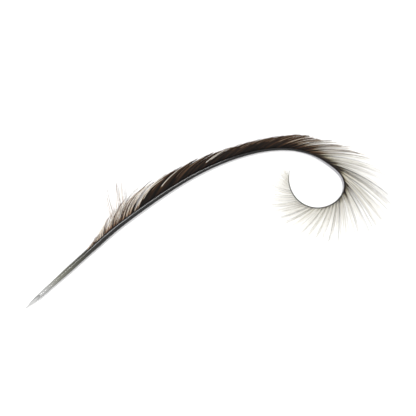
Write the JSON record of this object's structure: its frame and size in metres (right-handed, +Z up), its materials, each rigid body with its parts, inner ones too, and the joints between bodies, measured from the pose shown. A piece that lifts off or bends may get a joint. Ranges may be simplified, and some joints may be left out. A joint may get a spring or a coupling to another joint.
{
  "type": "quill pen",
  "caption": "Cut feather quill pen lying flat: hollow translucent barrel with a split nib, dark bowed shaft curled at its end, and fine barbs on its back that fan out round the curl.",
  "frame": {"origin": "centre of the part's bounding box, on the table surface it lies on", "axes": "+X along the longest extent, towards the curl; +Z up from the table; +Y to the side that the back of the shaft faces"},
  "size_m": [0.239, 0.1131, 0.0119],
  "materials": {
    "barrel_keratin": "clarified quill keratin, satin, pale and translucent at the nib and darker up the barrel",
    "pulp_membrane": "dry papery membrane",
    "shaft_keratin": "dark brown-black keratin with a soft shine",
    "shaft_pith": "white foamy pith, matte",
    "vane_barb": "dark brown zipped barbs with a dull sheen",
    "loose_barb": "brown-grey unzipped barbs",
    "fan_barb": "thin beige-grey to brown single barbs",
    "grey_down": "soft grey-brown down"
  },
  "bodies": {
    "root": {"far_crook_lock": "vane_barb", "far_downy_tuft": "grey_down", "far_fan_spray_1": "fan_barb", "far_fan_spray_2": "fan_barb", "far_fan_spray_3": "fan_barb", "far_fan_spray_4": "fan_barb", "far_fan_spray_5": "fan_barb", "far_fan_spray_6": "fan_barb", "far_vane_lock_1": "vane_barb", "far_vane_lock_2": "vane_barb", "far_vane_lock_3": "vane_barb", "far_vane_lock_4": "vane_barb", "far_vane_lock_5": "vane_barb", "far_vane_lock_6": "vane_barb", "loose_lock": "loose_barb", "near_crook_lock_1": "vane_barb", "near_crook_lock_2": "vane_barb", "near_downy_tuft": "grey_down", "near_fan_spray_1": "fan_barb", "near_fan_spray_2": "fan_barb", "near_fan_spray_3": "fan_barb", "near_fan_spray_4": "fan_barb", "near_fan_spray_5": "fan_barb", "near_fan_spray_6": "fan_barb", "near_fan_spray_7": "fan_barb", "near_fan_spray_8": "fan_barb", "near_first_down": "grey_down", "near_vane_lock_1": "vane_barb", "near_vane_lock_2": "vane_barb", "near_vane_lock_3": "vane_barb", "near_vane_lock_4": "vane_barb", "near_vane_lock_5": "vane_barb", "near_vane_lock_6": "vane_barb", "near_vane_lock_7": "vane_barb", "pulp_caps": "pulp_membrane", "quill_barrel": "barrel_keratin", "shaft_core": "shaft_pith", "shaft_shell": "shaft_keratin", "standing_wisps": "loose_barb"}
  },
  "joints": []
}
